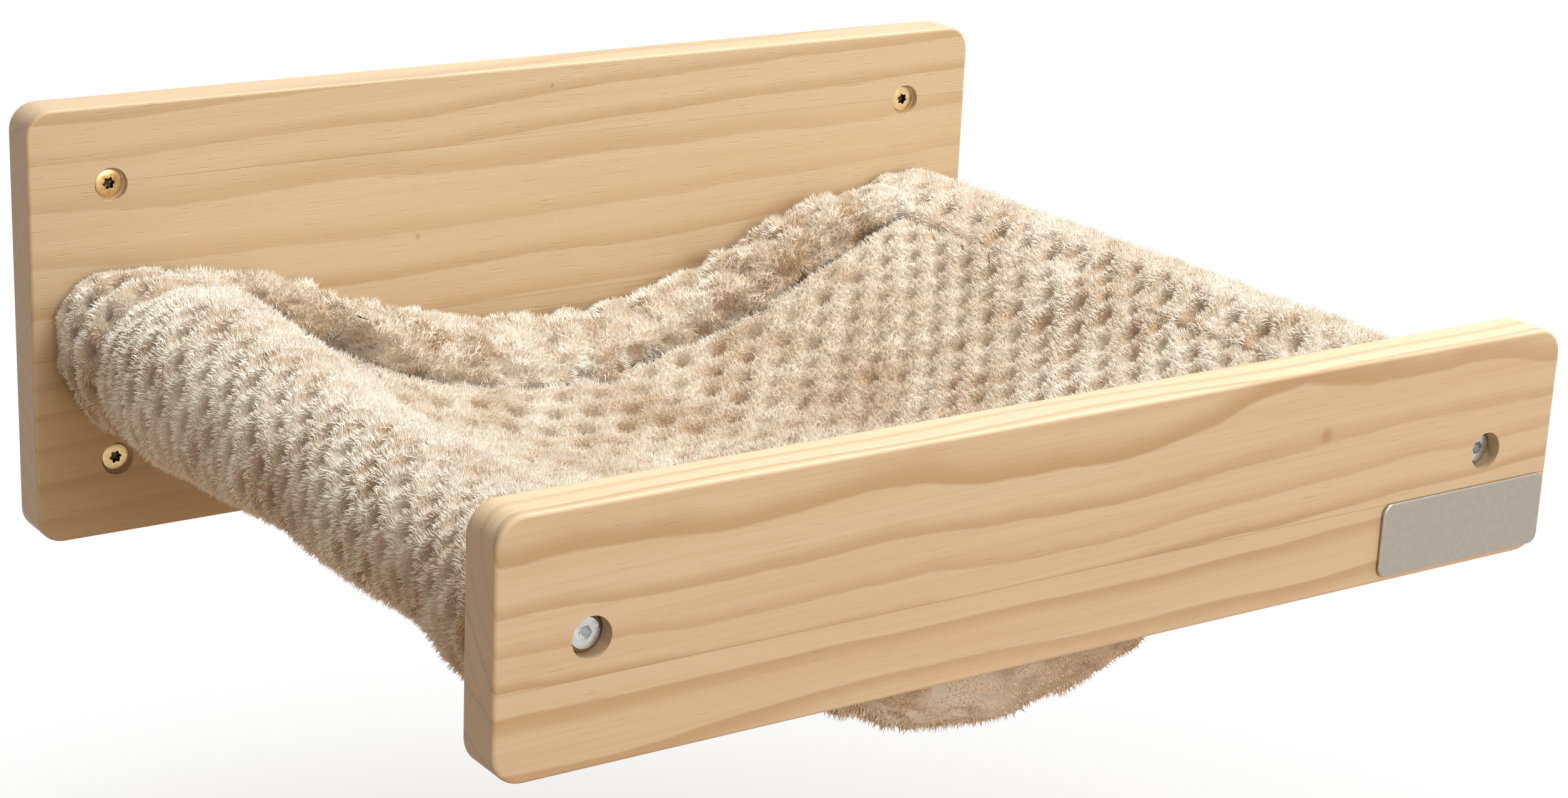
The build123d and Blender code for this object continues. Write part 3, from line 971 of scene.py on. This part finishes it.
def make_pile_tree():
    """Scatters fibres over a skin that carries cover, pile_length, shade, parting and grid."""
    tree = bpy.data.node_groups.new("pile_fibres", "GeometryNodeTree")
    tree.interface.new_socket("Skin", in_out="INPUT", socket_type="NodeSocketGeometry")
    for socket_name in ("Seed", "Spacing", "Width", "From", "To"):
        kind = "Int" if socket_name == "Seed" else "Float"
        tree.interface.new_socket(socket_name, in_out="INPUT", socket_type="NodeSocket" + kind)
    tree.interface.new_socket("Pile", in_out="OUTPUT", socket_type="NodeSocketGeometry")
    given = tree.nodes.new("NodeGroupInput").outputs
    result = tree.nodes.new("NodeGroupOutput").inputs

    def carried(attribute, kind="FLOAT"):
        named = add_node(tree, "GeometryNodeInputNamedAttribute", {"Name": attribute}, data_type=kind)
        return named.outputs[0]

    def stored(geometry, attribute, value, kind, domain):
        kept = {"Geometry": geometry, "Name": attribute, "Value": value}
        made = add_node(tree, "GeometryNodeStoreNamedAttribute", kept, data_type=kind, domain=domain)
        return made.outputs[0]

    def chance(low, high, seed):
        spread = {2: low, 3: high, "Seed": seed}
        return add_node(tree, "FunctionNodeRandomValue", spread, data_type="FLOAT").outputs[1]

    place = add_node(tree, "GeometryNodeInputPosition").outputs[0]
    across = axes_of(tree, place)[0]
    beyond = calc(tree, "GREATER_THAN", across, given["From"])
    scatter = {
        "Mesh": given["Skin"],
        "Selection": times(tree, beyond, calc(tree, "LESS_THAN", across, given["To"])),
        "Distance Min": given["Spacing"],
        "Density Max": calc(tree, "DIVIDE", 1.6, times(tree, given["Spacing"], given["Spacing"])),
        "Density Factor": carried("cover"),
        "Seed": given["Seed"],
    }
    roots = add_node(tree, "GeometryNodeDistributePointsOnFaces", scatter, distribute_method="POISSON")
    roots = roots.outputs
    lock = {"Vector": place, "Scale": 1.0 / (lock_size * mm)}
    lock_middle = add_node(tree, "ShaderNodeTexVoronoi", lock).outputs["Position"]
    pull = vector_calc(tree, "SCALE", vector_calc(tree, "SUBTRACT", lock_middle, place))
    pull.node.inputs["Scale"].default_value = clumping / (lock_size * mm)
    stray = {0: (-straying,) * 3, 1: (straying,) * 3, "Seed": 11}
    stray = add_node(tree, "FunctionNodeRandomValue", stray, data_type="FLOAT_VECTOR").outputs[0]
    bend = {"Vector": vector_calc(tree, "MULTIPLY", place, (55, 55, 55)), "Scale": 1.0, "Detail": 1.0}
    bend = add_node(tree, "ShaderNodeTexNoise", bend).outputs["Color"]
    bend = vector_calc(tree, "SUBTRACT", bend, (0.5, 0.5, 0.54))
    bend = vector_calc(tree, "MULTIPLY", bend, (0.7, 0.7, 0.7))
    grid = axes_of(tree, carried("grid", "FLOAT_VECTOR"))
    turns = [calc(tree, "COSINE", times(tree, grid[way], tau / dimple_pitch)) for way in (0, 1)]
    wave = calc(tree, "MULTIPLY_ADD", times(tree, *turns), 0.5, 0.5)
    rib = times(tree, turns[1], turns[1])
    dimple = times(tree, ramp(tree, wave, 0.40, 0.76), ramp(tree, rib, 0.15, 0.8))
    dimple = times(tree, dimple, grid[2])
    parted = vector_calc(tree, "MULTIPLY", carried("parting", "FLOAT_VECTOR"), (leaning,) * 3)
    lean = vector_calc(tree, "ADD", roots["Normal"], pull)
    lean = vector_calc(tree, "ADD", lean, vector_calc(tree, "ADD", stray, bend))
    lean = vector_calc(tree, "ADD", lean, parted)
    turn = add_node(tree, "FunctionNodeAlignRotationToVector", {"Vector": lean}, axis="Z").outputs[0]
    tall = times(tree, carried("pile_length"), pile_length * mm)
    tall = times(tree, tall, chance(0.75, 1.1, 5))
    tall = times(tree, tall, calc(tree, "MULTIPLY_ADD", dimple, -0.8, 1.0))
    scale = {0: given["Width"], 1: given["Width"], 2: tall}
    scale = add_node(tree, "ShaderNodeCombineXYZ", scale).outputs[0]

    cone = {"Vertices": 3, "Radius Top": 0.0, "Radius Bottom": 0.5, "Depth": 1.0}
    cone = add_node(tree, "GeometryNodeMeshCone", cone, fill_type="NGON").outputs[0]
    local = axes_of(tree, place)
    cone = stored(cone, "tip", local[2], "FLOAT", "POINT")
    cone = stored(cone, "around", calc(tree, "MULTIPLY_ADD", local[1], 0.8, 0.5), "FLOAT", "POINT")

    points = stored(roots["Points"], "up", roots["Normal"], "FLOAT_VECTOR", "POINT")
    sunk = vector_calc(tree, "MULTIPLY", roots["Normal"], (-root_depth * mm,) * 3)
    sunk = add_node(tree, "GeometryNodeSetPosition", {"Geometry": points, "Offset": sunk}).outputs[0]
    fibres = {"Points": sunk, "Instance": cone, "Rotation": turn, "Scale": scale}
    fibres = add_node(tree, "GeometryNodeInstanceOnPoints", fibres).outputs[0]
    # fibres in a dimple are tinted darker: painted shade in its hollow
    tint = times(tree, carried("shade"), calc(tree, "MULTIPLY_ADD", dimple, -0.85, 1.0))
    spread = chance(0.0, tint_steps - shade_steps - 0.01, 7)
    tint = calc(tree, "FLOOR", calc(tree, "ADD", times(tree, tint, shade_steps), spread))
    fibres = stored(fibres, "tint", tint, "FLOAT", "INSTANCE")
    real = add_node(tree, "GeometryNodeRealizeInstances", {0: fibres}).outputs[0]
    outward = vector_calc(tree, "SCALE", carried("up", "FLOAT_VECTOR"))
    outward.node.inputs["Scale"].default_value = 1.8
    outward = vector_calc(tree, "ADD", outward, add_node(tree, "GeometryNodeInputNormal").outputs[0])
    soft = {"Mesh": real, "Custom Normal": vector_calc(tree, "NORMALIZE", outward)}
    real = add_node(tree, "GeometryNodeSetMeshNormal", soft, mode="FREE", domain="POINT").outputs[0]
    column = calc(tree, "DIVIDE", calc(tree, "ADD", carried("tint"), carried("around")), float(tint_steps))
    layout = add_node(tree, "ShaderNodeCombineXYZ", {0: column, 1: carried("tip")}).outputs[0]
    tree.links.new(stored(real, "OFBake", layout, "FLOAT2", "CORNER"), result[0])
    return tree


pile_tree = make_pile_tree()


def grow_pile(skin, name, seed, spacing, width, start, end):
    """A mesh of fibres over the part of a skin between two places across."""
    pile = bpy.data.objects.new(name, skin.data.copy())
    scene.collection.objects.link(pile)
    growth = pile.modifiers.new("pile", "NODES")
    growth.node_group = pile_tree
    numbers = {"Seed": seed, "Spacing": spacing * mm, "Width": width * mm, "From": start, "To": end}
    for socket in pile_tree.interface.items_tree:
        if socket.in_out == "INPUT" and socket.name in numbers:
            growth[socket.identifier] = numbers[socket.name]
    applied(pile)
    for attribute in ("tip", "around", "tint", "up", "cover", "pile_length", "shade", "parting", "grid"):
        if attribute in pile.data.attributes:
            pile.data.attributes.remove(pile.data.attributes[attribute])
    pile.data.materials.clear()
    pile.data.materials.append(plush_pile)
    pile.parent = skin
    print(name, len(pile.data.polygons), "faces")


# skin, name, seed, spacing and width in mm, and the places across between which this pile grows
pile_plan = (
    ("sling_left_sleeve", "left_roll_pile_outer", 1, 0.60, 0.50, -1.0, -0.172),
    ("sling_left_sleeve", "left_roll_pile_inner", 1, 0.60, 0.50, -0.172, 1.0),
    ("sling_right_sleeve", "right_roll_pile_inner", 2, 0.62, 0.50, -1.0, 0.170),
    ("sling_right_sleeve", "right_roll_pile_outer", 2, 0.62, 0.50, 0.170, 1.0),
    ("sling_upper_panel", "bed_pile_left", 3, 0.60, 0.48, -1.0, -0.054),
    ("sling_upper_panel", "bed_pile_middle", 3, 0.60, 0.48, -0.054, 0.054),
    ("sling_upper_panel", "bed_pile_right", 3, 0.60, 0.48, 0.054, 1.0),
    ("sling_rear_hem", "rear_hem_pile", 5, 0.66, 0.53, -1.0, 1.0),
    ("sling_front_hem", "front_hem_pile", 6, 0.90, 0.70, -1.0, 1.0),
    ("sling_lower_panel", "underside_pile", 7, 1.35, 1.08, -1.0, 1.0),
)
for node_name, skin in skins.items():
    finish = wadding_finish if node_name == "sling_core" else plush_skin
    skin.data.materials.clear()
    skin.data.materials.append(finish)
    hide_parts(node_name)
    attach(skin, "root")
for node_name, *plan in pile_plan:
    grow_pile(skins[node_name], *plan)

# %% [markdown]
# The stage is a pale floor well below the hammock. Near the object the floor is lit like any surface and
# keeps the shadow; further out it fades to plain white, which only the camera and reflections see. The
# world does the same for the background. The light that the floor throws back is tinted a warm brown, so
# that the boards' and the sling's undersides don't turn grey.

# %% Floor
def seen_directly(tree):
    """1 for what the camera sees, also in a mirror or through glass, and 0 for light that bounces."""
    rays = add_node(tree, "ShaderNodeLightPath").outputs
    seen = calc(tree, "MAXIMUM", rays["Is Camera Ray"], rays["Is Glossy Ray"])
    return calc(tree, "MAXIMUM", seen, rays["Is Transmission Ray"])


floor_height = -0.345
warm_brown, pale_grey = (0.47, 0.29, 0.15, 1), (0.62, 0.62, 0.62, 1)
bm = bmesh.new()
bmesh.ops.create_grid(bm, x_segments=1, y_segments=1, size=4.0)
bmesh.ops.translate(bm, verts=bm.verts, vec=(0, 0, floor_height))
floor_finish = bpy.data.materials.new("floor_white")
floor_finish.use_nodes = True
tree = floor_finish.node_tree
tree.nodes.remove(tree.nodes["Principled BSDF"])
white = add_node(tree, "ShaderNodeEmission", {"Color": (1, 1, 1, 1), "Strength": 1.0}).outputs[0]
seen = seen_directly(tree)
matte = {"Color": mixed(tree, seen, warm_brown, pale_grey)}
matte = add_node(tree, "ShaderNodeBsdfDiffuse", matte).outputs[0]
away = vector_calc(tree, "DISTANCE", object_place(tree), (0.0, -0.17, floor_height), out=1)
fade = times(tree, ramp(tree, away, 0.22, 0.60), seen)
surface = add_node(tree, "ShaderNodeMixShader", {0: fade, 1: matte, 2: white}).outputs[0]
tree.links.new(surface, tree.nodes["Material Output"].inputs[0])
floor = piece_from(bm, "floor", floor_finish)
print("floor at a height of", floor_height, "m")

# %% White background
world = bpy.data.worlds.new("studio")
scene.world = world
world.use_nodes = True
tree = world.node_tree
seen = seen_directly(tree)
world_light, world_colour = 0.49, (1.0, 0.94, 0.85, 1)
strength = {"Value": seen, "To Min": world_light, "To Max": 1.0}
strength = add_node(tree, "ShaderNodeMapRange", strength).outputs[0]
background = tree.nodes["Background"].inputs
tree.links.new(mixed(tree, seen, world_colour, (1, 1, 1, 1)), background["Color"])
tree.links.new(strength, background["Strength"])
print("world light", world_light)

# %% [markdown]
# Two broad lamps do the rest. The key hangs above and a little to the right, which leaves the left ends
# of the boards in soft shade as in the picture. The fill stands low at the front.

# %% Lamps
def soft_lamp(name, place, target, size, power):
    """A square area lamp at place, turned to target."""
    data = bpy.data.lights.new(name, "AREA")
    data.size, data.energy = size, power
    lamp = bpy.data.objects.new(name, data)
    scene.collection.objects.link(lamp)
    aim = (Vector(target) - Vector(place)).to_track_quat("-Z", "Y")
    lamp.matrix_world = Matrix.LocRotScale(Vector(place), aim, None)
    print(name, "lamp of", power, "W")


sling_middle = (0.0, -0.15, 0.0)
key_watts, fill_watts = 21.3, 38.0
soft_lamp("key", (0.50, -0.30, 1.20), sling_middle, 0.7, key_watts)
soft_lamp("fill", (0.2, -3.0, 0.9), sling_middle, 1.6, fill_watts)
